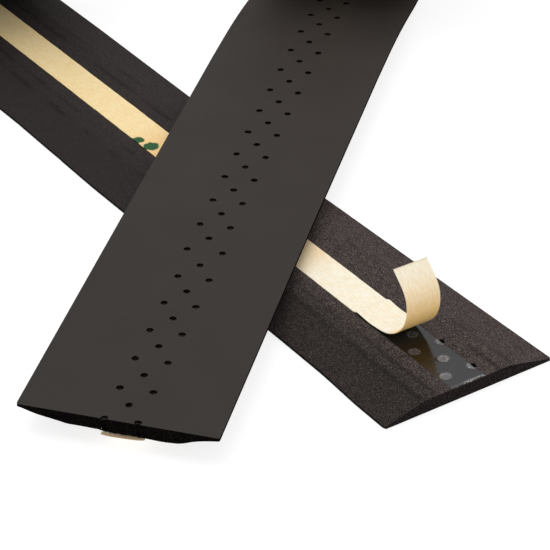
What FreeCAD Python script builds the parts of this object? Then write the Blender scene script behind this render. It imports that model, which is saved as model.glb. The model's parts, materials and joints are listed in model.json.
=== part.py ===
"""A pair of perforated grip tapes: the lower one lies back up, the upper one crosses it face up.

Each tape is a laminate of skin, foam, an adhesive film and a paper release liner. Its near end is
loose, its run lies straight, and the rest is wound into a roll. Millimetres, +Z up. The origin is
where the two centre lines cross, on the surface that the lower tape lies on.
"""

import math
import os

import FreeCAD
import Part
from FreeCAD import Vector

# Driving dimensions of the tape
TAPE_LENGTH = 1100.0
TAPE_WIDTH = 30.0
TAPE_THICKNESS = 2.3
SKIN_THICKNESS = 0.35
EDGE_THICKNESS = 0.5  # where the bevel of the foam ends, at the tape's edges
PLATEAU_HALF_WIDTH = 8.8  # the full thickness ends here and the bevel begins
GROOVE_HALF_WIDTH = 3.2
GROOVE_DEPTH = 0.15
FILM_HALF_WIDTH = 3.05
FILM_THICKNESS = 0.05
FILM_SETBACK = 0.3  # the film starts this far in from the tape's cut end
LINER_HALF_WIDTH = 3.05
LINER_THICKNESS = 0.12

# Perforation: rows of two holes and one hole in turn
HOLE_RADIUS = 0.5
HOLE_PITCH = 7.68
HOLE_COLUMN_GAP = 2.48
HOLE_SEAM_STEP = -0.62  # the pattern steps to the left where the punching roller came round
LOWER_FIRST_HOLE = 3.01
LOWER_HOLES_OFFSET = 0.64  # how far the pattern lies to the right, before its seam
LOWER_SEAM_AT = 22.0
UPPER_FIRST_HOLE = 0.62
UPPER_HOLES_OFFSET = 0.34
UPPER_SEAM_AT = 44.6

# How the tapes lie
LOWER_DIRECTION = 124.05  # degrees from +X towards +Y
UPPER_DIRECTION = 76.36
LOWER_CROSSING = 61.81  # distance from the near end to where the tapes cross
UPPER_CROSSING = 66.67
REST_GAP = 0.1  # between the lower tape's back and the upper tape's
LOWER_HINGE = 28.0  # where the near end starts to lift
UPPER_HINGE = 44.6
HINGE_GAP = 0.1
RUN_LENGTH = 160.0  # from the near end to under the middle of the roll
RAMP_START = 118.0  # the upper tape comes down to the table from here
RAMP_LENGTH = 40.0

# The rolls
ROLL_RADIUS = 29.6
TURN_GAP = 0.25

# The peeled flap of the lower tape's liner
PEEL_LINE = 24.5
FLAP_LIFT = 0.04  # between the film and the flap's flat root
FLAP_JOINT_GAP = 0.1
FLAP_PLATES = (  # length of each plate and its bend from the plate before it, in degrees
    (6.7, 2.0),
    (2.9, 15.0),
    (3.0, 21.0),
    (2.9, 24.0),
    (2.6, 26.0),
    (2.2, 24.0),
    (3.9, 24.0),
)

GROOVE_FLOOR = TAPE_THICKNESS - GROOVE_DEPTH
FILM_TOP = GROOVE_FLOOR + FILM_THICKNESS
LINER_TOP = FILM_TOP + LINER_THICKNESS
TURN_PITCH = TAPE_THICKNESS + TURN_GAP


def band(half_width, bottom, top):
    """Section of a flat layer, as (across, depth) points. Depth is measured from the skin's face."""
    return [(-half_width, bottom), (half_width, bottom), (half_width, top), (-half_width, top)]


SECTIONS = {
    "skin": band(TAPE_WIDTH / 2, 0.0, SKIN_THICKNESS),
    "foam": [
        (-TAPE_WIDTH / 2, SKIN_THICKNESS),
        (TAPE_WIDTH / 2, SKIN_THICKNESS),
        (TAPE_WIDTH / 2, EDGE_THICKNESS),
        (PLATEAU_HALF_WIDTH, TAPE_THICKNESS),
        (GROOVE_HALF_WIDTH, TAPE_THICKNESS),
        (GROOVE_HALF_WIDTH, GROOVE_FLOOR),
        (-GROOVE_HALF_WIDTH, GROOVE_FLOOR),
        (-GROOVE_HALF_WIDTH, TAPE_THICKNESS),
        (-PLATEAU_HALF_WIDTH, TAPE_THICKNESS),
        (-TAPE_WIDTH / 2, EDGE_THICKNESS),
    ],
    "film": band(FILM_HALF_WIDTH, GROOVE_FLOOR, FILM_TOP),
    "liner": band(LINER_HALF_WIDTH, FILM_TOP, LINER_TOP),
}
PRESSED_FOAM = [  # in the roll, where the next turn presses the foam level with its groove
    (-TAPE_WIDTH / 2, SKIN_THICKNESS),
    (TAPE_WIDTH / 2, SKIN_THICKNESS),
    (TAPE_WIDTH / 2, EDGE_THICKNESS),
    (PLATEAU_HALF_WIDTH, GROOVE_FLOOR),
    (-PLATEAU_HALF_WIDTH, GROOVE_FLOOR),
    (-TAPE_WIDTH / 2, EDGE_THICKNESS),
]


def section_of(layer, part, face_up):
    """Section of a layer as (across, height) points above the tape's lower surface."""
    points = PRESSED_FOAM if layer == "foam" and part == "roll" else SECTIONS[layer]
    return [(t, TAPE_THICKNESS - d if face_up else d) for t, d in points]


class Pose:
    """A place on the tape's lower surface: distance along, height and heading (0 is level)."""

    def __init__(self, along, height, heading=0.0):
        self.along, self.height, self.heading = along, height, heading

    def forward(self):
        return Vector(math.cos(self.heading), 0, math.sin(self.heading))

    def upward(self):
        return Vector(-math.sin(self.heading), 0, math.cos(self.heading))

    def point(self):
        return Vector(self.along, 0, self.height)

    def face(self, section):
        """The section as a face across the tape here. Across is positive to the right, -Y."""
        corners = [self.point() + self.upward() * h + Vector(0, -t, 0) for t, h in section]
        return Part.Face(Part.makePolygon(corners + corners[:1]))


def sweep(section, start, path):
    """Sweep a section along straight runs ("line", length) and arcs ("arc", radius, degrees).

    A positive arc curves upwards. The radius is that of the tape's lower surface.
    """
    pose, solids = start, []
    for kind, *sizes in path:
        face = pose.face(section)
        if kind == "line":
            step = pose.forward() * sizes[0]
            solids.append(face.extrude(step))
            end = pose.point() + step
            pose = Pose(end.x, end.z, pose.heading)
        else:
            radius, degrees = sizes
            side = 1 if degrees > 0 else -1
            centre = pose.point() + pose.upward() * (side * radius)
            solids.append(face.revolve(centre, Vector(0, -1, 0), degrees))
            heading = pose.heading + math.radians(degrees)
            end = centre - Pose(0, 0, heading).upward() * (side * radius)
            pose = Pose(end.x, end.z, heading)
    whole = solids[0] if len(solids) == 1 else solids[0].multiFuse(solids[1:]).removeSplitter()
    return whole.Solids[0] if len(whole.Solids) == 1 else whole


def ramp():
    """Two arcs that bring the upper tape down to the table, from its height over the lower tape."""
    drop = TAPE_THICKNESS + REST_GAP
    turn = 2 * math.atan2(drop, RAMP_LENGTH)
    radius = RAMP_LENGTH / (2 * math.sin(turn))
    return [("arc", radius, -math.degrees(turn)), ("arc", radius, math.degrees(turn))]


def winding():
    """Half turns of the roll, each smaller by half a turn's pitch, until the tape's length is used."""
    left, radius, turns = TAPE_LENGTH - RUN_LENGTH, ROLL_RADIUS, []
    while left > 1.0:
        mean = radius - TAPE_THICKNESS / 2
        degrees = min(180.0, math.degrees(left / mean))
        turns.append(("arc", radius, degrees))
        left -= mean * math.radians(degrees)
        radius -= TURN_PITCH / 2
    return turns


def perforations(first, offset, seam, start, end):
    """Cylinders through skin and foam for the whole holes that lie well between start and end."""
    holes = []
    for row in range(int(2 * end / HOLE_PITCH) + 2):
        along = first + row * HOLE_PITCH / 2
        if not start + 2 * HOLE_RADIUS < along < end - HOLE_RADIUS:
            continue
        shift = offset + (HOLE_SEAM_STEP if along > seam else 0.0)
        columns = (0.0,) if row % 2 else (-HOLE_COLUMN_GAP, HOLE_COLUMN_GAP)
        for column in columns:
            foot = Vector(along, -(shift + column), -1.0)
            holes.append(Part.makeCylinder(HOLE_RADIUS, 3 * TAPE_THICKNESS + 2, foot))
    return holes


def lay(shape, direction, crossing):
    """Turn a tape that runs along +X to its direction, with its crossing point over the origin."""
    placed = shape.copy()
    placed.translate(Vector(-crossing, 0, 0))
    placed.rotate(Vector(0, 0, 0), Vector(0, 0, 1), direction)
    return placed


def layer_start(layer, face_up):
    """Where a layer begins. The lower tape's liner is peeled as far as the peel line."""
    if layer == "film":
        return FILM_SETBACK
    return PEEL_LINE if layer == "liner" and not face_up else 0.0


def tape_nodes(name, face_up, stretches):
    """Every layer of each stretch of one tape, which runs along +X from its near end.

    A stretch is its starting pose, its path and the holes through its skin and foam. The first
    one starts where the layer does.
    """
    nodes = {}
    for layer in SECTIONS:
        for part, (pose, path, holes) in stretches.items():
            section = section_of(layer, part, face_up)
            if part == "end":
                start = layer_start(layer, face_up)
                pose, path = Pose(start, pose.height), [("line", path[0][1] - start)]
            shape = sweep(section, pose, path)
            if holes and layer in ("skin", "foam"):
                shape = shape.cut(Part.makeCompound(holes))
            nodes[f"{name}_{part}_{layer}"] = shape.Solids[0] if len(shape.Solids) == 1 else shape
    return nodes


def lower_tape():
    """The lower tape, back up, flat on the table as far as its roll."""
    hinge, half_gap = LOWER_HINGE, HINGE_GAP / 2
    rows = (LOWER_FIRST_HOLE, LOWER_HOLES_OFFSET, LOWER_SEAM_AT)
    stretches = {
        "end": (Pose(0, 0), [("line", hinge - half_gap)], perforations(*rows, 0, hinge)),
        "run": (
            Pose(hinge + half_gap, 0),
            [("line", RUN_LENGTH - hinge - half_gap)],
            perforations(*rows, hinge, RUN_LENGTH),
        ),
        "roll": (Pose(RUN_LENGTH, 0), winding(), None),
    }
    return tape_nodes("lower", False, stretches)


def upper_tape():
    """The upper tape, face up on the lower one, then down a gentle ramp to its roll."""
    hinge, half_gap, height = UPPER_HINGE, HINGE_GAP / 2, TAPE_THICKNESS + REST_GAP
    rows = (UPPER_FIRST_HOLE, UPPER_HOLES_OFFSET, UPPER_SEAM_AT)
    stretches = {
        "end": (Pose(0, height), [("line", hinge - half_gap)], perforations(*rows, 0, hinge)),
        "run": (
            Pose(hinge + half_gap, height),
            [("line", RAMP_START - hinge - half_gap)],
            perforations(*rows, hinge, RAMP_START),
        ),
        "ramp": (
            Pose(RAMP_START, height),
            [*ramp(), ("line", RUN_LENGTH - RAMP_START - RAMP_LENGTH)],
            None,
        ),
        "roll": (Pose(RUN_LENGTH, 0), winding(), None),
    }
    return tape_nodes("upper", True, stretches)


def flap_corners():
    """The flap's hinge points and tip, as (along, height) at the paper's underside, and headings."""
    along, height = PEEL_LINE - FLAP_JOINT_GAP, FILM_TOP + FLAP_LIFT
    corners, headings, heading = [(along, height)], [], 0.0
    for length, bend in FLAP_PLATES:
        heading += bend
        headings.append(heading)
        along -= length * math.cos(math.radians(heading))
        height += length * math.sin(math.radians(heading))
        corners.append((along, height))
    return corners, headings


def flap_nodes():
    """The peeled paper as flat plates that follow its curl, from the peel line to its tip."""
    nodes = {}
    corners, headings = flap_corners()
    for index, (length, _) in enumerate(FLAP_PLATES):
        plate = Part.makeBox(
            length - FLAP_JOINT_GAP,
            2 * LINER_HALF_WIDTH,
            LINER_THICKNESS,
            Vector(-length + FLAP_JOINT_GAP / 2, -LINER_HALF_WIDTH, 0),
        )
        along, height = corners[index]
        plate.rotate(Vector(0, 0, 0), Vector(0, 1, 0), headings[index])
        plate.translate(Vector(along, 0, height))
        nodes[f"liner_flap_{index + 1}"] = plate
    return nodes


def report_joints():
    """Print each hinge's place and axis in metres, for the record."""
    corners, _ = flap_corners()
    axis = lay(Part.Vertex(Vector(LOWER_CROSSING, 1, 0)), LOWER_DIRECTION, LOWER_CROSSING).Point
    print("lower hinge axis (lifts the near end):", [round(v, 6) for v in axis])
    for index, (along, height) in enumerate(corners[:-1]):
        point = lay(Part.Vertex(Vector(along, 0, height)), LOWER_DIRECTION, LOWER_CROSSING).Point
        print(f"liner_flap_{index + 1} hinge:", [round(v / 1000, 6) for v in point])
    for name, hinge, direction, crossing, height in (
        ("lower_end", LOWER_HINGE, LOWER_DIRECTION, LOWER_CROSSING, TAPE_THICKNESS),
        ("upper_end", UPPER_HINGE, UPPER_DIRECTION, UPPER_CROSSING, 2 * TAPE_THICKNESS + REST_GAP),
    ):
        point = lay(Part.Vertex(Vector(hinge, 0, height)), direction, crossing).Point
        print(f"{name} hinge:", [round(v / 1000, 6) for v in point])
    axis = lay(Part.Vertex(Vector(UPPER_CROSSING, 1, 0)), UPPER_DIRECTION, UPPER_CROSSING).Point
    print("upper hinge axis:", [round(v, 6) for v in axis])
    print("half turns in a roll:", [(round(r, 2), round(d)) for _, r, d in winding()])


def main():
    os.makedirs("parts", exist_ok=True)
    lower = {**lower_tape(), **flap_nodes()}
    placed = {name: lay(shape, LOWER_DIRECTION, LOWER_CROSSING) for name, shape in lower.items()}
    for name, shape in upper_tape().items():
        placed[name] = lay(shape, UPPER_DIRECTION, UPPER_CROSSING)
    for name, shape in placed.items():
        shape.exportStep(f"parts/{name}.step")
        print(name, "valid" if shape.isValid() else "NOT VALID", len(shape.Solids), round(shape.Volume, 2))
    report_joints()


main()
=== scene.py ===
"""The looks of two crossed grip tapes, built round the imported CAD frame.

Each layer of each tape is one closed mesh. It is made flat, as distance along the tape, distance
across it to the right and depth below the skin's outer face, all in millimetres, and then it is
laid along the tape's path in metres. Every texture is read in those flat distances, from the
mesh's "flat" attribute, so it bends with the tape.
"""

import json
import math
import random

import bmesh
import bpy
import numpy as np
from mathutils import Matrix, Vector, noise


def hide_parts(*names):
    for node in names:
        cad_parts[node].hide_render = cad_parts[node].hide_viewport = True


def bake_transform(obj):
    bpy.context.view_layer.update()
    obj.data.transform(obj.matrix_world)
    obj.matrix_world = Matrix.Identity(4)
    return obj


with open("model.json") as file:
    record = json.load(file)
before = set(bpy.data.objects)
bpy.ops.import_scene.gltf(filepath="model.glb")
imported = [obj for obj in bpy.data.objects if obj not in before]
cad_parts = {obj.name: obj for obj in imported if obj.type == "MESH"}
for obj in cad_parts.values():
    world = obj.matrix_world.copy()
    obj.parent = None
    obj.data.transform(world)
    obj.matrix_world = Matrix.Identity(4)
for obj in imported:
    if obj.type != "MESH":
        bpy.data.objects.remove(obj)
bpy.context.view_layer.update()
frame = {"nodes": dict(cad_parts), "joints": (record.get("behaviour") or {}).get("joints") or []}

MM = 0.001

# The tape
TAPE_LENGTH = 1100.0
HALF_WIDTH = 15.0
THICKNESS = 2.3
SKIN = 0.35
GROOVE_FLOOR = 2.15
FILM_TOP = 2.20
LINER_TOP = 2.32
STRIP_HALF_WIDTH = 3.05  # of the film and of the liner
TURN_GAP = 0.25
RAMP_LENGTH = 40.0  # over which the upper tape comes down to the table
CORNER_RADIUS = 0.3
LAYER_GAP = 0.004  # under the film and under the liner, so that no two faces share a place
UPPER_STRIP_MIDDLE = 0.7  # the upper tape's film and liner lie a little to the right

# The holes: rows of two and rows of one, in turn
HOLE_PITCH = 7.68
COLUMN_GAP = 2.48
PATCH = 0.8  # half the side of the square of mesh round a hole
LOWER_SEAM = 22.0  # where the punch came round again, and its holes step to the left
UPPER_SEAM = 44.6
UPPER_SEAM_GAP = 0.3  # how much further along the rows beyond it are
SEEN_ROWS = 12  # more than enough rows to cover the lower tape's bare film
FAINT_FROM = 8.9  # beyond this, in the curl's shade, the film's blisters are faint

# The peeled paper
PEEL = 24.5
HOP_HEIGHT = 0.45  # how far the paper springs up where it leaves the film
HOP_START = 1.2  # over how much of its length it rises
HOP_LENGTH = 4.5  # after how much it is back on the curl
FLAP_JOINTS = (
    "flap_lift", "flap_curl_1", "flap_curl_2", "flap_curl", "flap_curl_4", "flap_curl_5", "flap_curl_6",
)

# A generic print on the lower tape's paper: round marks as (along, across, radius)
PRINT = ((84.9, -1.85, 1.35), (88.0, -2.6, 1.1))

# A length of each tape just behind its hinge
LOWER_BEND = 3.2
UPPER_BEND = 7.0

# The back of each tape, as (across, depth) where its slope changes
LOWER_BACK = (
    (-15.0, 0.48), (-7.5, 2.26), (-3.35, 2.24), (-3.2, GROOVE_FLOOR), (3.2, GROOVE_FLOOR),
    (3.35, 2.2), (7.8, 2.2), (15.0, 0.48),
)
UPPER_BACK = (
    (-15.0, 0.42), (-12.6, 1.15), (-7.7, 1.95), (-2.8, 2.0), (2.0, GROOVE_FLOOR), (6.8, 2.3),
    (9.2, 2.1), (11.4, 1.2), (13.1, 0.82), (15.0, 0.5),
)


def read(mesh):
    """The places of a mesh's vertices, one to a row."""
    found = np.empty(len(mesh.vertices) * 3, np.float32)
    mesh.vertices.foreach_get("co", found)
    return found.reshape(-1, 3).astype(float)


def vertices(node):
    """A CAD node's vertices in millimetres."""
    return read(frame["nodes"][node].data) / MM


def span(node, direction):
    """The least and the most that a CAD node reaches from the origin along a direction."""
    along = vertices(node) @ direction
    return along.min(), along.max()


def joint(name):
    """A joint's entry in the frame."""
    return next(j for j in frame["joints"] if j["name"] == name)


# ---------------------------------------------------------------------------------------------
# Where the tapes lie


class Path:
    """The line that a tape's lower surface follows in its upright plane, as runs and arcs.

    Each piece is its length at the middle of the tape's thickness and the radius of the lower
    surface: 0 for a straight run, and positive where the tape curves upwards.
    """

    def __init__(self, height, pieces):
        self.rows, at, along, heading = [], 0.0, 0.0, 0.0
        for length, radius in pieces:
            turn = length / (radius - THICKNESS / 2) if radius else 0.0
            self.rows.append((at, along, height, heading, radius, turn / length))
            if radius:
                along += radius * (math.sin(heading + turn) - math.sin(heading))
                height += radius * (math.cos(heading) - math.cos(heading + turn))
            else:
                along += length * math.cos(heading)
                height += length * math.sin(heading)
            heading += turn
            at += length
        self.rows = np.array(self.rows)

    def place(self, distance, above):
        """Distance along the ground and height of points this far above the lower surface."""
        index = np.searchsorted(self.rows[:, 0], distance, side="right") - 1
        at, along, height, start, radius, bend = self.rows[np.maximum(index, 0)].T
        local = distance - at
        heading = start + bend * local
        arc = radius != 0
        along = along + np.where(arc, radius * (np.sin(heading) - np.sin(start)), local * np.cos(start))
        height = height + np.where(arc, radius * (np.cos(start) - np.cos(heading)), local * np.sin(start))
        return along - above * np.sin(heading), height + above * np.cos(heading)


def winding(length, radius):
    """Half turns of a roll, each smaller than the last, until the length is used up."""
    turns = []
    while length > 1.0:
        turns.append((min(length, math.pi * (radius - THICKNESS / 2)), radius))
        length -= turns[-1][0]
        radius -= (THICKNESS + TURN_GAP) / 2
    return turns


class Tape:
    """One tape: its direction, its path and its pattern of holes.

    Its own irregularities are drift(along), how far each column of holes lies to the right,
    lean(along, across), how far the tape's outer parts do, and cut, its cut end's (along, slope).
    """

    def __init__(self, name, face_up, first_hole, back, drift, cut, lean):
        self.name, self.face_up, self.back = name, face_up, back
        self.drift, self.cut, self.lean = drift, cut, lean
        axis = joint(f"{name}_end_lift")["axis"]
        self.right = -np.array(axis)
        self.forward = np.array((axis[1], -axis[0], 0.0))
        self.near = span(f"{name}_end_skin", self.forward)[0]
        self.hinge = self.distance(f"{name}_run_skin", 0)
        self.roll_at = self.distance(f"{name}_ramp_skin" if face_up else f"{name}_run_skin", 1)
        roll_radius = span(f"{name}_roll_skin", (0, 0, 1))[1] / 2
        if face_up:
            base = span(f"{name}_end_skin", (0, 0, 1))[1] - THICKNESS
            ramp_at = self.distance(f"{name}_run_skin", 1)
            pieces = [(ramp_at, 0), *self.ramp(base, ramp_at)]
            roll_radius += THICKNESS / 2
        else:
            base, pieces = 0.0, [(self.roll_at, 0)]
        self.straight = sum(length for length, _ in pieces)
        self.outer_turn = self.straight + 2 * math.pi * (roll_radius - THICKNESS)
        pieces += winding(TAPE_LENGTH - self.roll_at, roll_radius)
        self.length = sum(length for length, _ in pieces)
        self.path = Path(base, pieces)
        self.rows = np.arange(first_hole, self.length, HOLE_PITCH / 2)

    def distance(self, node, end):
        """How far along the tape a node starts, for end 0, or stops, for end 1."""
        return span(node, self.forward)[end] - self.near

    def ramp(self, drop, ramp_at):
        """Two arcs and a short run that take the tape down from its height to the table."""
        turn = 2 * math.atan2(drop, RAMP_LENGTH)
        radius = RAMP_LENGTH / (2 * math.sin(turn))
        return [
            ((radius + THICKNESS / 2) * turn, -radius),
            ((radius - THICKNESS / 2) * turn, radius),
            (self.roll_at - ramp_at - RAMP_LENGTH, 0),
        ]

    def stand(self, along, across, height):
        """Points in metres from distances along the ground, across it and up."""
        flat = np.outer(along + self.near, self.forward) + np.outer(across, self.right)
        flat[:, 2] += height
        return flat * MM

    def lay(self, flat):
        """Points in metres from flat (along, across, depth) ones."""
        depth = flat[:, 2]
        above = THICKNESS - depth if self.face_up else depth
        along, height = self.path.place(flat[:, 0], above)
        return self.stand(along, flat[:, 1], height)

    def columns(self, row):
        """The columns that have a hole in a row, by number."""
        return (1,) if row % 2 else (0, 2)

    def hole(self, row, column):
        """A hole's place, as (along, across)."""
        along = self.rows[row]
        return along, (column - 1) * COLUMN_GAP + self.drift(along)[column]


def lower_drift(along):
    """How far each column of holes lies to the right of its place, on the lower tape."""
    return (0.64 if along < LOWER_SEAM else 0.02,) * 3


def upper_drift(along):
    """The same on the upper tape, whose rows of holes also run slightly aslant."""
    slant = 0.0038 * min(along, 160.0)
    before, after = 0.32 + slant, -0.42 + slant
    return tuple(before if along < UPPER_SEAM + late else after for late in (0.0, 0.0, 3.0))


def lower_lean(along, across):
    """How far the lower tape's outer parts lie to the right of their place: it was slit unevenly."""
    left = np.interp(along, (0, 7, 16, 26, 82, 108, 130), (-0.25, -0.2, 0.2, 0.24, -0.16, 0.25, 0))
    right = np.interp(along, (0, 58, 90, 130), (0.6, -0.75, -0.5, 0))
    return np.where(across < 0, left, right) * np.clip((np.abs(across) - 4.5) / 4.5, 0, 1)


def upper_lean(along, across):
    """The same on the upper tape, which was slit a little to the left of its holes."""
    left = np.interp(along, (110, 150), (-0.39, 0))
    right = np.interp(along, (0, 60, 110, 150), (-0.05, -0.35, -0.35, 0))
    return np.where(across < 0, left, right) * np.clip((np.abs(across) - 4.5) / 4.5, 0, 1)


lower = Tape(
    "lower", face_up=False, first_hole=3.01, back=LOWER_BACK, drift=lower_drift,
    cut=(-0.19, 0.0127), lean=lower_lean,
)
upper = Tape(
    "upper", face_up=True, first_hole=0.62, back=UPPER_BACK, drift=upper_drift,
    cut=(0.27, -0.045), lean=upper_lean,
)
upper.rows[upper.rows > UPPER_SEAM] += UPPER_SEAM_GAP


# ---------------------------------------------------------------------------------------------
# Meshes


def rounded(x, points, reach):
    """The height at x of a line through points, with its corners rounded over about reach."""
    xs, ys = zip(*points)
    return np.mean([np.interp(x + shift, xs, ys) for shift in np.linspace(-reach, reach, 9)], axis=0)


def level(depth):
    """A flat side of a slab, at this depth."""
    return lambda s, t: np.full_like(s, depth)


def rounding(distance, radius):
    """How far a rounded edge has dropped at this distance in from it."""
    inside = np.clip(radius - distance, 0.0, radius)
    return radius - np.sqrt(radius**2 - inside**2)


def grid_lines(start, centres, end, step, wide_from=math.inf, wide_step=1.0):
    """Grid lines from start to end, with five across each centre's patch, and each patch's first."""
    lines, firsts = [start], []

    def fill(stop):
        last = lines[-1]
        if stop > last + 1e-6:
            count = math.ceil((stop - last) / (step if last < wide_from else wide_step))
            lines.extend(last + (stop - last) * k / count for k in range(1, count + 1))

    for centre in centres:
        fill(centre - PATCH)
        firsts.append(len(lines) - 1)
        lines.extend(centre + PATCH * k for k in (-0.5, 0.0, 0.5, 1.0))
    if wide_from > lines[-1]:
        fill(min(wide_from, end))
    fill(end)
    return np.array(lines), firsts


def ring(corner, count_across):
    """Offsets, in a grid's numbering, of the 16 points round a patch, from a corner onwards."""
    steps = [(k, 0) for k in range(4)] + [(4, k) for k in range(4)]
    steps += [(4 - k, 4) for k in range(4)] + [(0, 4 - k) for k in range(4)]
    return [(corner[0] + a) * count_across + corner[1] + b for a, b in steps]


class Slab:
    """A closed layer of tape in flat space: two sides of one grid, joined round the edges.

    face and back give each side's depth at s along and t across, which shift has moved by then.
    """

    def __init__(self, along, across, face, back, shift=None):
        self.shape = (len(along), len(across))
        s, t = np.meshgrid(along, across, indexing="ij")
        if shift is not None:
            t = t + shift(s, t)
        self.face = np.stack((s, t, face(s, t)), -1)
        self.back = np.stack((s, t, back(s, t)), -1)
        self.open = np.zeros((len(along) - 1, len(across) - 1), bool)
        self.extra, self.faces, self.kinds, self.size = [], [], [], 2 * s.size

    def add_points(self, points):
        """Keep points that are not on the grid, and give their numbers."""
        first = self.size
        self.extra.extend(points)
        self.size += len(points)
        return list(range(first, self.size))

    def cut_hole(self, corner, centre, lips, factors):
        """A hole in the patch at a corner. lips are rings, as (radius, how far in, which side)."""
        across = self.shape[1]
        loop = ring(corner, across)
        self.open[corner[0] : corner[0] + 4, corner[1] : corner[1] + 4] = True
        middle = (corner[0] + 2, corner[1] + 2)
        levels = (self.face[middle][2], self.back[middle][2])
        loops = [loop]
        for radius, inset, side in lips:
            depth = levels[side] + (inset if side == 0 else -inset)
            points = []
            for k in range(16):
                angle = math.radians(225.0 + 22.5 * k)
                reach = radius * factors[k]
                s, t = centre[0] + reach * math.cos(angle), centre[1] + reach * math.sin(angle)
                points.append((s, t, depth))
            loops.append(self.add_points(points))
        half = self.shape[0] * across
        loops.append([k + half for k in loop])
        for step, (one, two) in enumerate(zip(loops, loops[1:])):
            for k in range(16):
                after = (k + 1) % 16
                self.faces.append((one[k], one[after], two[after], two[k]))
                self.kinds.append(int(1 < step < len(lips)))

    def mesh(self, name, edge_kind=0):
        """The mesh in flat space, with unused points dropped. Its edges get material edge_kind."""
        rows, cols = self.shape
        number = np.arange(rows * cols).reshape(rows, cols)
        quads = np.stack((number[:-1, :-1], number[1:, :-1], number[1:, 1:], number[:-1, 1:]), -1)
        quads = quads[~self.open]
        half = rows * cols
        walls = []
        for line, flip in ((number[:, 0], 1), (number[:, -1], -1), (number[0], -1), (number[-1], 1)):
            wall = np.stack((line[:-1], line[:-1] + half, line[1:] + half, line[1:]), -1)
            walls.append(wall[:, ::flip])
        faces = np.concatenate((quads, quads[:, ::-1] + half, *walls))
        kinds = np.zeros(len(faces), int)
        kinds[2 * len(quads) :] = edge_kind
        if self.faces:
            faces = np.concatenate((faces, np.array(self.faces)))
            kinds = np.concatenate((kinds, self.kinds))
        points = np.concatenate((self.face.reshape(-1, 3), self.back.reshape(-1, 3)))
        if self.extra:
            points = np.concatenate((points, np.array(self.extra)))
        used, packed = np.unique(faces, return_inverse=True)
        mesh = bpy.data.meshes.new(name)
        mesh.from_pydata(points[used].tolist(), [], packed.reshape(faces.shape).tolist())
        mesh.polygons.foreach_set("material_index", kinds.astype(np.int32))
        return mesh


def clean(mesh, cut=None):
    """Make a mesh's faces look outwards, after cutting it along a line, (along, slope)."""
    work = bmesh.new()
    work.from_mesh(mesh)
    if cut is not None:
        everything = work.verts[:] + work.edges[:] + work.faces[:]
        bmesh.ops.bisect_plane(
            work, geom=everything, plane_co=(cut[0], 0, 0), plane_no=(1, -cut[1], 0), clear_inner=True
        )
        rim = [edge for edge in work.edges if edge.is_boundary]
        caps = bmesh.ops.holes_fill(work, edges=rim)["faces"]
        for cap in caps:
            cap.material_index = 1
        bmesh.ops.triangulate(work, faces=caps)
    bmesh.ops.recalc_face_normals(work, faces=work.faces)
    work.to_mesh(mesh)
    work.free()


def write(mesh, places):
    """Move a mesh's vertices to these places."""
    mesh.vertices.foreach_set("co", places.astype(np.float32).ravel())


def store(mesh, name, values):
    """Give a mesh's vertices a number or a vector each."""
    kind, key = ("FLOAT", "value") if values.ndim == 1 else ("FLOAT_VECTOR", "vector")
    attribute = mesh.attributes.new(name, kind, "POINT")
    attribute.data.foreach_set(key, values.astype(np.float32).ravel())


def piece(name, mesh, place, materials):
    """A shown piece from a mesh in flat space: place turns its flat points into metres."""
    flat = read(mesh)
    store(mesh, "flat", flat)
    write(mesh, place(flat))
    clean(mesh)
    mesh.polygons.foreach_set("use_smooth", np.ones(len(mesh.polygons), bool))
    mesh.set_sharp_from_angle(angle=math.radians(35.0))
    mesh.update()
    made = bpy.data.objects.new(name, mesh)
    bpy.context.scene.collection.objects.link(made)
    for material in materials:
        mesh.materials.append(material)
    return made


def lumps(flat, size, seed):
    """Smooth irregularity between about -1 and 1 at flat points, with lumps of this size."""
    return np.array([noise.noise(Vector((s / size + seed, t / size, seed))) for s, t, _ in flat])


# ---------------------------------------------------------------------------------------------
# Materials


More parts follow.
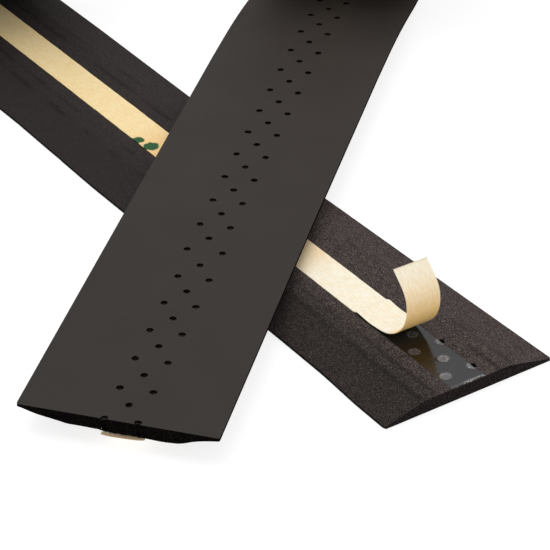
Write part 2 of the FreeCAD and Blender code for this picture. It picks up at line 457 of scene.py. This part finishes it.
class Look:
    """A Principled material whose textures are read in flat millimetres."""

    def __init__(self, name, **sockets):
        self.material = bpy.data.materials.new(name)
        self.material.use_nodes = True
        self.tree = self.material.node_tree
        self.shader = self.tree.nodes["Principled BSDF"]
        for socket, value in sockets.items():
            self.set(socket.replace("_", " "), value)
        self.flat = self.attribute("flat", "Vector")

    def set(self, socket, value):
        """Give one of the shader's sockets a value or a link."""
        self.fill(self.shader.inputs[socket], value)

    def fill(self, socket, value):
        """Give any socket a value or a link."""
        if isinstance(value, bpy.types.NodeSocket):
            self.tree.links.new(value, socket)
        else:
            socket.default_value = value

    def node(self, kind, inputs, output=0, **settings):
        """A new node with these inputs, by name or number, and one of its outputs."""
        made = self.tree.nodes.new(kind)
        for key, value in settings.items():
            setattr(made, key, value)
        for key, value in inputs.items():
            self.fill(made.inputs[key], value)
        return made.outputs[output]

    def attribute(self, name, output="Fac"):
        """One of the mesh's attributes: "Fac" for a number or "Vector"."""
        return self.node("ShaderNodeAttribute", {}, output, attribute_name=name)

    def calc(self, operation, a, b=0.0, clamp=False):
        """What a Math node makes of a and b."""
        return self.node("ShaderNodeMath", {0: a, 1: b}, operation=operation, use_clamp=clamp)

    def times(self, a, b, clamp=False):
        """The product of a and b."""
        return self.calc("MULTIPLY", a, b, clamp)

    def part(self, axis):
        """One of the flat distances: "X" along, "Y" across or "Z" depth."""
        return self.node("ShaderNodeSeparateXYZ", {0: self.flat}, axis)

    def stretched(self, factors):
        """The flat distances, each times its factor."""
        return self.node("ShaderNodeVectorMath", {0: self.flat, 1: factors}, operation="MULTIPLY")

    def noise(self, scale, detail=2.0, roughness=0.5, stretch=None):
        """Noise from 0 to 1, with this many lumps to the millimetre."""
        where = self.stretched(stretch) if stretch else self.flat
        inputs = {"Vector": where, "Scale": scale, "Detail": detail, "Roughness": roughness}
        return self.node("ShaderNodeTexNoise", inputs, "Fac")

    def cells(self, scale):
        """Distance to the nearest of scattered cells, with this many cells to the millimetre."""
        return self.node("ShaderNodeTexVoronoi", {"Vector": self.flat, "Scale": scale}, "Distance")

    def fade(self, value, low, high, to_low=0.0, to_high=1.0):
        """A smooth step from to_low, where value is low, to to_high, where it is high."""
        inputs = {"Value": value, "From Min": low, "From Max": high, "To Min": to_low, "To Max": to_high}
        return self.node("ShaderNodeMapRange", inputs, interpolation_type="SMOOTHSTEP")

    def mix(self, factor, a, b, blend="MIX"):
        """Colour a where factor is 0 and b where it is 1."""
        settings = {"data_type": "RGBA", "blend_type": blend}
        return self.node("ShaderNodeMix", {0: factor, 6: a, 7: b}, 2, **settings)

    def bump(self, height, depth, below=None):
        """Raise the surface by depth, in millimetres, where height is 1."""
        inputs = {"Height": height, "Distance": depth * MM}
        if below is not None:
            inputs["Normal"] = below
        return self.node("ShaderNodeBump", inputs)


def rgb(red, green, blue):
    """A screen colour from 0 to 255 as the linear one that shaders use."""
    def linear(value):
        value /= 255
        return value / 12.92 if value <= 0.04045 else ((value + 0.055) / 1.055) ** 2.4

    return (linear(red), linear(green), linear(blue), 1.0)


def skin_look():
    """Matte polyurethane: a dark warm grey with a very fine grain, a little darker near the cut end."""
    look = Look("tape_skin", Roughness=0.65, Specular_IOR_Level=0.15)
    patches = look.noise(0.09, 3.0)
    grain = look.noise(2.6, 3.0, 0.6)
    colour = look.mix(look.fade(patches, 0.3, 0.7), rgb(53, 48, 45), rgb(56, 51, 48))
    near = look.fade(look.part("X"), 10.0, 90.0, 1.0, 0.0)
    colour = look.mix(near, colour, (0.84, 0.83, 0.82, 1.0), "MULTIPLY")
    colour = look.mix(look.fade(grain, 0.3, 0.7, 0.0, 0.35), colour, rgb(64, 58, 54))
    look.set("Base Color", colour)
    look.set("Roughness", look.fade(grain, 0.2, 0.8, 0.55, 0.68))
    look.set("Normal", look.bump(look.noise(5.0, 4.0, 0.65), 0.012))
    return look.material


def foam_look():
    """Closed-cell foam: dark and light grains, with painted shade on its left, and smoother far along.

    Faint broken scores run along it on both sides of the groove.
    """
    look = Look("cushion_foam", Roughness=0.85, Specular_IOR_Level=0.2)
    along, across = look.part("X"), look.calc("ABSOLUTE", look.part("Y"))
    grains = look.noise(6.5, 3.0, 0.75)
    pores = look.cells(5.0)
    clumps = look.noise(1.3, 3.0, 0.6)
    speckle = look.times(look.fade(grains, 0.42, 0.66), look.fade(pores, 0.1, 0.6, 0.2, 1.0))
    speckle = look.times(speckle, look.fade(clumps, 0.25, 0.7, 0.75, 1.15), True)
    colour = look.mix(speckle, rgb(24, 17, 16), rgb(130, 115, 111))
    # painted shade: the foam's left side, where it slopes down to its edge, is darkened
    left = look.fade(look.part("Y"), -9.5, -2.5, 1.0, 0.0)
    colour = look.mix(left, colour, (0.46, 0.47, 0.45, 1.0), "MULTIPLY")
    smooth = look.fade(along, 62.0, 80.0)
    colour = look.mix(look.times(smooth, 0.75), colour, rgb(38, 34, 33))
    wander = look.times(look.noise(0.12, 2.0), 1.1)
    breaks = look.fade(look.noise(0.16, 2.0), 0.4, 0.62)
    for at in (5.2, 7.7):
        near = look.calc("ABSOLUTE", look.calc("SUBTRACT", look.calc("SUBTRACT", across, at), wander))
        score = look.times(look.fade(near, 0.1, 0.7, 0.5, 0.0), breaks)
        colour = look.mix(score, colour, rgb(16, 13, 13))
    look.set("Base Color", colour)
    height = look.calc("ADD", look.times(grains, 0.7), look.times(pores, 0.5))
    depth = look.times(height, look.fade(smooth, 0.0, 1.0, 1.0, 0.35))
    look.set("Normal", look.bump(depth, 0.2))
    return look.material


def cut_look(name, dark, light, shine):
    """Cut foam: painted shade in the holes and along the edges, and its own colours at the cut end."""
    look = Look(name, Roughness=0.9, Specular_IOR_Level=shine)
    grains = look.noise(5.5, 3.0, 0.75)
    pores = look.cells(4.0)
    speckle = look.times(look.fade(grains, 0.4, 0.64), look.fade(pores, 0.1, 0.55, 0.1, 1.0))
    # painted shade: a near-black colour for the hole walls and the thin side edges
    walls = look.mix(speckle, rgb(4, 3, 3), rgb(38, 31, 32))
    face = look.mix(speckle, dark, light)
    look.set("Base Color", look.mix(look.fade(look.part("X"), 0.7, 1.1), face, walls))
    height = look.calc("ADD", look.times(grains, 0.7), look.times(pores, 0.5))
    look.set("Normal", look.bump(height, 0.25))
    return look.material


def film_look():
    """Clear glossy adhesive over dark foam, with dull crinkled blisters over the holes."""
    look = Look("adhesive_film", IOR=1.5)
    rings, discs, frayed = (look.attribute(name) for name in ("rings", "discs", "frayed"))
    crinkles = look.noise(5.5, 3.0, 0.75)
    broken = look.fade(crinkles, 0.38, 0.66)
    dull = look.times(rings, look.calc("ADD", look.times(broken, 0.75), 0.25))
    dull = look.calc("MAXIMUM", dull, look.times(discs, look.fade(crinkles, 0.3, 0.75, 0.25, 0.6)))
    clouds = look.noise(1.2, 3.0)
    colour = look.mix(clouds, rgb(7, 7, 12), rgb(19, 18, 26))
    # painted reflection: beyond about 9 mm along, the film turns brown, for the curl's shaded paper
    # mirrored in it
    painted_curl_reflection = look.mix(clouds, rgb(9, 3, 0), rgb(18, 9, 4))
    colour = look.mix(look.fade(look.part("X"), 5.0, 9.0), colour, painted_curl_reflection)
    colour = look.mix(dull, colour, rgb(158, 153, 156))
    glints = look.times(rings, look.fade(look.noise(7.5, 1.0), 0.6, 0.68))
    colour = look.mix(glints, colour, rgb(236, 236, 238))
    shreds = look.times(frayed, look.fade(crinkles, 0.44, 0.56))
    colour = look.mix(shreds, colour, rgb(196, 194, 194))
    look.set("Base Color", colour)
    rough = look.calc("MAXIMUM", dull, shreds)
    look.set("Metallic", look.times(dull, 0.95))
    look.set("Roughness", look.fade(rough, 0.0, 0.8, 0.13, 0.27))
    look.set("Specular IOR Level", look.fade(rough, 0.0, 0.8, 0.78, 0.9))
    folds = look.bump(look.times(crinkles, rough), 0.06)
    look.set("Normal", look.bump(look.noise(0.8, 2.0), 0.012, folds))
    return look.material


def paper_look():
    """Cream release paper with faint fibres along it and a generic green print.

    Tanner beyond the crossing; painted shade tans it on the curl and by the upper tape and darkens its
    end.
    """
    look = Look("release_paper", Roughness=0.55, Specular_IOR_Level=0.3)
    clouds = look.noise(0.7, 4.0, 0.6)
    fibres = look.noise(3.4, 3.0, 0.65, (0.22, 1.0, 1.0))
    along, across = look.part("X"), look.part("Y")
    colour = look.mix(look.fade(clouds, 0.3, 0.7), rgb(253, 243, 219), rgb(255, 250, 233))
    colour = look.mix(look.fade(fibres, 0.38, 0.7, 0.0, 0.42), colour, rgb(240, 212, 162))
    # painted shade: the curled part of the paper is tanned
    curl = look.times(look.fade(along, 0.0, 11.0), look.fade(along, 13.0, 16.0, 1.0, 0.0))
    colour = look.mix(curl, colour, rgb(255, 219, 154), "MULTIPLY")
    far = look.fade(along, 66.0, 76.0)
    colour = look.mix(far, colour, rgb(255, 238, 200), "MULTIPLY")
    # painted shade: darker within 0.9 mm of the paper's end
    end = look.fade(along, 0.0, 0.9, 1.0, 0.0)
    colour = look.mix(end, colour, rgb(186, 168, 150), "MULTIPLY")
    # painted shade: tan beside and under the upper tape
    under = look.times(look.fade(along, 36.0, 42.0), look.fade(along, 84.0, 92.0, 1.0, 0.0))
    colour = look.mix(look.times(under, 0.5), colour, rgb(250, 218, 166), "MULTIPLY")
    ink = 0.0
    for centre, side, radius in PRINT:
        offset = {0: look.calc("SUBTRACT", along, centre), 1: look.calc("SUBTRACT", across, side)}
        offset = look.node("ShaderNodeCombineXYZ", offset)
        reach = look.node("ShaderNodeVectorMath", {0: offset}, "Value", operation="LENGTH")
        reach = look.calc("ADD", reach, look.times(look.noise(1.3, 2.0), 0.8))
        mark = look.fade(reach, radius + 0.2, radius + 0.6, 1.0, 0.0)
        ink = look.calc("MAXIMUM", ink, mark)
    look.set("Base Color", look.mix(ink, colour, rgb(26, 88, 42)))
    look.set("Normal", look.bump(look.noise(3.0, 4.0, 0.6, (0.3, 1.0, 1.0)), 0.02))
    return look.material


SKIN_LOOK = skin_look()
FOAM_LOOK = foam_look()
CUT_LOOKS = {
    "lower": cut_look("lower_cut", rgb(6, 4, 4), rgb(57, 48, 47), 0.06),
    "upper": cut_look("upper_cut", rgb(3, 2, 2), rgb(29, 25, 25), 0.0),
}
FILM_LOOK = film_look()
PAPER_LOOK = paper_look()


# ---------------------------------------------------------------------------------------------
# The tapes' layers


def half_width(along):
    """Half the tape's width at this distance from its cut end, whose corners are rounded."""
    return HALF_WIDTH - rounding(along, CORNER_RADIUS)


def wobble(tape, row, column):
    """How ragged a hole's edge is, as a factor on its radius at 16 points round it."""
    draw = random.Random(f"{tape.name} {row} {column}")
    tilt, squash = draw.uniform(0, math.tau), draw.uniform(0.0, 0.07)
    notch = draw.randrange(16) if draw.random() < 0.35 else None
    found = []
    for k in range(16):
        value = 1 + squash * math.cos(2 * (math.tau * k / 16 - tilt)) + draw.uniform(-0.03, 0.03)
        found.append(value * (1.22 if k == notch else 1.0))
    return found


def column_shift(tape, rows):
    """How far the grid moves to the right, so that its patches follow the columns of holes."""
    places = np.concatenate([(row - PATCH, row + PATCH) for row in rows])
    drifts = np.repeat([tape.drift(row) for row in rows], 2, axis=0)
    knots = [-8.0, *(c * COLUMN_GAP + e * PATCH for c in (-1, 0, 1) for e in (-1, 1)), 8.0]

    def shift(s, t):
        columns = [np.interp(s, places, drifts[:, k]) for k in range(3)]
        nothing = np.zeros_like(s)
        steps = [nothing, *(columns[k // 2] for k in range(6)), nothing]
        moved = nothing
        for low, high, a, b in zip(knots, knots[1:], steps, steps[1:]):
            share = np.clip((t - low) / (high - low), 0, 1)
            moved = np.where((t >= low) & (t <= high), a + (b - a) * share, moved)
        return moved

    return shift


def punched(tape, name, face, back, side_step, lips, insets, look):
    """A layer of skin or foam, with its holes along the stretch where they can be seen.

    insets say how far in from each edge the outer grid lines lie.
    """
    rows = [row for row in tape.rows if row < tape.outer_turn]
    start = min(rows[0] - PATCH, tape.cut[0] - abs(tape.cut[1]) * HALF_WIDTH - 0.3)
    along, row_firsts = grid_lines(start, rows, tape.length, 1.3, tape.outer_turn + 2.0, 2.0)
    outer = [HALF_WIDTH - inset for inset in insets]
    columns = [c * COLUMN_GAP for c in (-1, 0, 1)]
    across, column_firsts = grid_lines(-outer[-1], columns, outer[-1], side_step)
    across = np.concatenate(([-line for line in outer[:-1]], across, outer[-2::-1]))
    column_firsts = [first + len(outer) - 1 for first in column_firsts]
    warp = column_shift(tape, rows)

    def shift(s, t):
        inside = np.maximum(s - tape.cut[0] - tape.cut[1] * t, 0)
        return warp(s, t) + t * (half_width(inside) / HALF_WIDTH - 1) + tape.lean(s, t)

    slab = Slab(along, across, face, back, shift)
    for row, first in enumerate(row_firsts):
        for column in tape.columns(row):
            corner = (first, column_firsts[column])
            slab.cut_hole(corner, tape.hole(row, column), lips, wobble(tape, row, column))
    mesh = slab.mesh(name, edge_kind=1)
    clean(mesh, tape.cut)
    return piece(name, mesh, tape.lay, (look, CUT_LOOKS[tape.name]))


def skin(tape):
    """The outer skin, with the rounded rims that a punch leaves round its holes."""
    insets = (0.0, 0.03, 0.1, 0.25, 1.5, 5.0, 8.5)

    def face(s, t):
        return rounding(HALF_WIDTH - np.abs(t), 0.12) * (np.abs(t) <= HALF_WIDTH)

    lips = [(0.64, 0.0, 0), (0.56, 0.012, 0), (0.515, 0.05, 0), (0.5, 0.14, 0), (0.5, 0.0, 1)]
    return punched(tape, f"{tape.name}_skin", face, level(SKIN), 2.0, lips, insets, SKIN_LOOK)


def foam(tape):
    """The cushion: full depth in the middle, thinning to the tape's edges."""
    insets = (0.0, 0.1, 1.0, 2.0, 3.0, 4.0, 5.0, 6.0, 7.2, 7.8, 8.8)

    def back(s, t):
        flat = np.stack((s.ravel(), t.ravel(), t.ravel()), -1)
        uneven = lumps(flat, 2.3, 4.0 if tape.face_up else 9.0).reshape(s.shape)
        depth = rounded(t, tape.back, 0.25)
        return np.maximum(depth + 0.035 * uneven * (np.abs(t) > 3.3) * (np.abs(t) < 14.5), SKIN + 0.06)

    lips = [(0.52, 0.0, 0), (0.5, 0.3, 0), (0.52, 0.08, 1), (0.6, 0.0, 1)]
    made = punched(tape, f"{tape.name}_foam", level(SKIN), back, 1.1, lips, insets, FOAM_LOOK)
    return made


def hole_distance(tape, flat):
    """Distance from each flat point to the nearest hole's middle, on the lower tape's bare film."""
    nearest = np.full(len(flat), 99.0)
    for row in range(0 if tape.face_up else SEEN_ROWS):
        for column in tape.columns(row):
            s, t = tape.hole(row, column)
            nearest = np.minimum(nearest, np.hypot(flat[:, 0] - s, flat[:, 1] - t))
    return nearest


def film(tape, middle):
    """The adhesive film. Where it is bare it sags a little into each hole, and its end is ragged."""
    bare = 2.0 if tape.face_up else PEEL
    along = np.concatenate((
        np.arange(0.0, bare, 0.14),
        np.arange(bare, tape.outer_turn, 1.2),
        np.linspace(tape.outer_turn, tape.length, 400),
    ))
    across = np.linspace(-STRIP_HALF_WIDTH, STRIP_HALF_WIDTH, 45)
    draw = random.Random(5)
    torn = np.array([draw.uniform(-0.14, 0.14) for _ in across])
    slip, inset = (0.55, 0.02) if tape.face_up else (0.0, 0.15)

    def shift(s, t):
        return middle - slip * np.exp(-s / 3) + 0.02 * np.sin(1.7 * s) * (np.abs(t) > 3.0)

    slab = Slab(along, across, level(FILM_TOP), level(GROOVE_FLOOR + LAYER_GAP), shift)
    for side in (slab.face, slab.back):
        fade = np.clip(1 - side[:, :, 0] / 0.8, 0, 1)
        side[:, :, 0] += fade * (torn + tape.cut[0] + tape.cut[1] * side[:, :, 1] + inset)
    mesh = slab.mesh(f"{tape.name}_film")
    flat = read(mesh)
    away = hole_distance(tape, flat)
    rim = np.exp(-(((away - 0.85) / 0.22) ** 2))
    dish = np.clip(1 - (away / 0.75) ** 2, 0, 1)
    seen = (flat[:, 0] < bare) * (flat[:, 2] > GROOVE_FLOOR + 0.02)
    flat[:, 2] += seen * (0.035 * rim - 0.03 * dish)
    write(mesh, flat)
    # painted shade: on the bare film, the blisters beyond FAINT_FROM on its left part are dimmed for the
    # curl's shade
    bare_with_curl_shade = seen * np.where((flat[:, 0] > FAINT_FROM) & (flat[:, 1] < 2.0), 0.45, 1.0)
    store(mesh, "rings", np.exp(-(((away - 0.68) / 0.2) ** 2)) * bare_with_curl_shade)
    store(mesh, "discs", np.clip((1.02 - away) / 0.35, 0, 1) * bare_with_curl_shade)
    end = np.clip(1 - (flat[:, 0] - 0.1) / 0.45, 0, 1) * np.clip(flat[:, 1] + 1.0, 0.2, 1)
    store(mesh, "frayed", end * (flat[:, 0] < 0.7) * (not tape.face_up))
    return piece(f"{tape.name}_film", mesh, tape.lay, (FILM_LOOK,))


def liner(tape, middle, start):
    """The release paper that is still stuck down. The upper tape's sags a little at its cut end."""
    along = np.concatenate((
        np.arange(start, tape.straight, 0.5),
        np.linspace(tape.straight, tape.length, 620),
    ))
    across = np.linspace(-STRIP_HALF_WIDTH, STRIP_HALF_WIDTH, 13)

    def shift(s, t):
        flat = np.stack((s.ravel(), np.sign(t).ravel() * 40, t.ravel()), -1)
        return middle + nicks(flat).reshape(s.shape) * np.sign(t) * (np.abs(t) > 3.0)

    slab = Slab(along, across, level(LINER_TOP), level(FILM_TOP + LAYER_GAP), shift)
    if tape.face_up:
        for side in (slab.face, slab.back):
            s, t = side[:, :, 0], side[:, :, 1] - middle
            side[:, :, 1] += 0.05 * t * np.exp(-s / 4)
            side[:, :, 2] += 0.2 * np.exp(-s / 4) * (1 - (t / STRIP_HALF_WIDTH) ** 4)
    mesh = slab.mesh(f"{tape.name}_liner")
    return piece(f"{tape.name}_liner", mesh, tape.lay, (PAPER_LOOK,))


def nicks(flat):
    """How far the paper's slit edges stray outwards, in millimetres."""
    waves = lumps(flat, 3.0, 2.0)
    return 0.05 * waves - 0.12 * np.clip(lumps(flat, 1.1, 7.0) - 0.35, 0, 1)


# ---------------------------------------------------------------------------------------------
# The peeled flap


def flap_line():
    """The curl of the peeled paper's underside, as points from the peel line to its tip.

    It rounds off the corners of the CAD plates: each hinge is a corner, and the curve touches
    the middle of each plate. Also gives the number of the point in the middle of each plate.
    """
    hinges = []
    for name in FLAP_JOINTS:
        x, y, z = (value / MM for value in joint(name)["pos_m"])
        hinges.append((np.dot((x, y, 0), lower.forward) - lower.near, z))
    last = f"liner_flap_{len(FLAP_JOINTS)}"
    tip = vertices(last)
    ahead = tip @ lower.forward - lower.near
    far = np.argmax(np.hypot(ahead - hinges[-1][0], tip[:, 2] - hinges[-1][1]))
    corners = np.array([*hinges, (ahead[far], tip[far, 2])])
    middles = (corners[:-1] + corners[1:]) / 2
    line, marks = [corners[0]], []
    for share in np.linspace(0, 1, 30)[1:]:
        line.append(corners[0] + (middles[0] - corners[0]) * share)
    marks.append(len(line) - 1)
    for k in range(1, len(corners) - 1):
        for share in np.linspace(0, 1, 24)[1:]:
            a = middles[k - 1] + (corners[k] - middles[k - 1]) * share
            b = corners[k] + (middles[k] - corners[k]) * share
            line.append(a + (b - a) * share)
        marks.append(len(line) - 1)
    for share in np.linspace(0, 1, 24)[1:]:
        line.append(middles[-1] + (corners[-1] - middles[-1]) * share)
    return np.array(line), marks


def flap():
    """The peeled paper, in one piece for each hinge of its curl."""
    line, marks = flap_line()
    line = np.concatenate(([(PEEL, FILM_TOP + LAYER_GAP)], line))
    run = np.concatenate(([0.0], np.cumsum(np.hypot(*np.diff(line, axis=0).T))))
    rise = np.clip(run / HOP_START, 0, 1)
    line[:, 1] += HOP_HEIGHT * rise**2 * (3 - 2 * rise) * np.clip(1 - run / HOP_LENGTH, 0, 1) ** 1.5
    slope = np.gradient(line, axis=0)
    slope /= np.hypot(*slope.T)[:, None]
    normal = np.stack((slope[:, 1], -slope[:, 0]), -1)
    paper = LINER_TOP - FILM_TOP - LAYER_GAP
    across = np.linspace(-STRIP_HALF_WIDTH, STRIP_HALF_WIDTH, 25)
    ends = [0, *(mark + 1 for mark in marks[:-1]), len(line) - 1]
    for k, (first, last) in enumerate(zip(ends, ends[1:])):
        name = f"liner_flap_{k + 1}"
        mesh = Slab(np.arange(first, last + 1.0), across, level(paper), level(0.0)).mesh(name)
        flat = read(mesh)
        index = flat[:, 0].round().astype(int)
        spot = line[index] + normal[index] * flat[:, 2:]
        flat[:, 0] = PEEL - run[index]
        write(mesh, flat)

        def place(points, spot=spot):
            return lower.stand(spot[:, 0], points[:, 1], spot[:, 1])

        part = piece(f"{name}_paper", mesh, place, (PAPER_LOOK,))
        inset = (line[last] - line[first]) * 0.04
        along, height = np.stack((line[first] + inset, line[last] - inset), -1)
        start, end = lower.stand(along, np.zeros(2), height)
        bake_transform(part)
        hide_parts(name)


# ---------------------------------------------------------------------------------------------
# The assembly


def fasten(made, tape, layer, bend):
    """Fix a layer in place, and hide the tape's CAD nodes for that layer, which it stands for."""
    stretch = np.array((tape.hinge, tape.hinge - bend))
    start, end = tape.stand(stretch, np.zeros(2), np.full(2, THICKNESS))
    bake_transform(made)
    parts = ("end", "run", "ramp", "roll") if tape.face_up else ("end", "run", "roll")
    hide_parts(*(f"{tape.name}_{part}_{layer}" for part in parts))


fasten(skin(lower), lower, "skin", LOWER_BEND)
fasten(foam(lower), lower, "foam", LOWER_BEND)
fasten(film(lower, 0.0), lower, "film", LOWER_BEND)
fasten(liner(lower, 0.0, PEEL), lower, "liner", LOWER_BEND)
fasten(skin(upper), upper, "skin", UPPER_BEND)
fasten(foam(upper), upper, "foam", UPPER_BEND)
fasten(film(upper, UPPER_STRIP_MIDDLE), upper, "film", UPPER_BEND)
fasten(liner(upper, UPPER_STRIP_MIDDLE, -0.25), upper, "liner", UPPER_BEND)
flap()


# ---------------------------------------------------------------------------------------------
# Floor, light and camera


def floor():
    """A plain pale floor just under the tapes."""
    mesh = bpy.data.meshes.new("floor")
    size, drop = 4.0, -0.0001
    corners = ((-size, -size, drop), (size, -size, drop), (size, size, drop), (-size, size, drop))
    mesh.from_pydata(corners, [], [(0, 1, 2, 3)])
    made = bpy.data.objects.new("floor", mesh)
    bpy.context.scene.collection.objects.link(made)
    material = bpy.data.materials.new("floor")
    material.use_nodes = True
    shader = material.node_tree.nodes["Principled BSDF"]
    shader.inputs["Base Color"].default_value = (0.3, 0.3, 0.3, 1)
    shader.inputs["Emission Color"].default_value = (1.0, 1.0, 1.0, 1)
    shader.inputs["Emission Strength"].default_value = 0.8
    shader.inputs["Roughness"].default_value = 0.9
    shader.inputs["Specular IOR Level"].default_value = 0.0
    mesh.materials.append(material)


def light():
    """A bright even surround and a large soft lamp overhead."""
    world = bpy.data.worlds.new("studio")
    world.use_nodes = True
    background = world.node_tree.nodes["Background"]
    background.inputs["Color"].default_value = (1.0, 1.0, 1.0, 1)
    background.inputs["Strength"].default_value = 0.72
    bpy.context.scene.world = world
    lamp = bpy.data.lights.new("overhead", "AREA")
    lamp.shape, lamp.size, lamp.energy = "DISK", 0.9, 3.6
    made = bpy.data.objects.new("overhead", lamp)
    made.location = (-0.25, 0.15, 0.9)
    made.rotation_euler = (Vector((0, 0, 0)) - made.location).to_track_quat("-Z", "Y").to_euler()
    bpy.context.scene.collection.objects.link(made)


def camera():
    """A long lens, looking down at the tapes from in front of their loose ends."""
    target = Vector((6.43, -18.70, 0.0)) * MM
    elevation, distance = math.radians(32.453), 402.64 * MM
    data = bpy.data.cameras.new("camera")
    data.sensor_width, data.lens = 36.0, 167.84
    data.clip_start, data.clip_end = 0.01, 20.0
    made = bpy.data.objects.new("camera", data)
    back = Vector((0, -math.cos(elevation), math.sin(elevation)))
    made.location = target + back * distance
    made.rotation_euler = (-back).to_track_quat("-Z", "Y").to_euler()
    bpy.context.scene.collection.objects.link(made)
    bpy.context.scene.camera = made


floor()
light()
camera()
bpy.context.scene.view_settings.view_transform = "Standard"
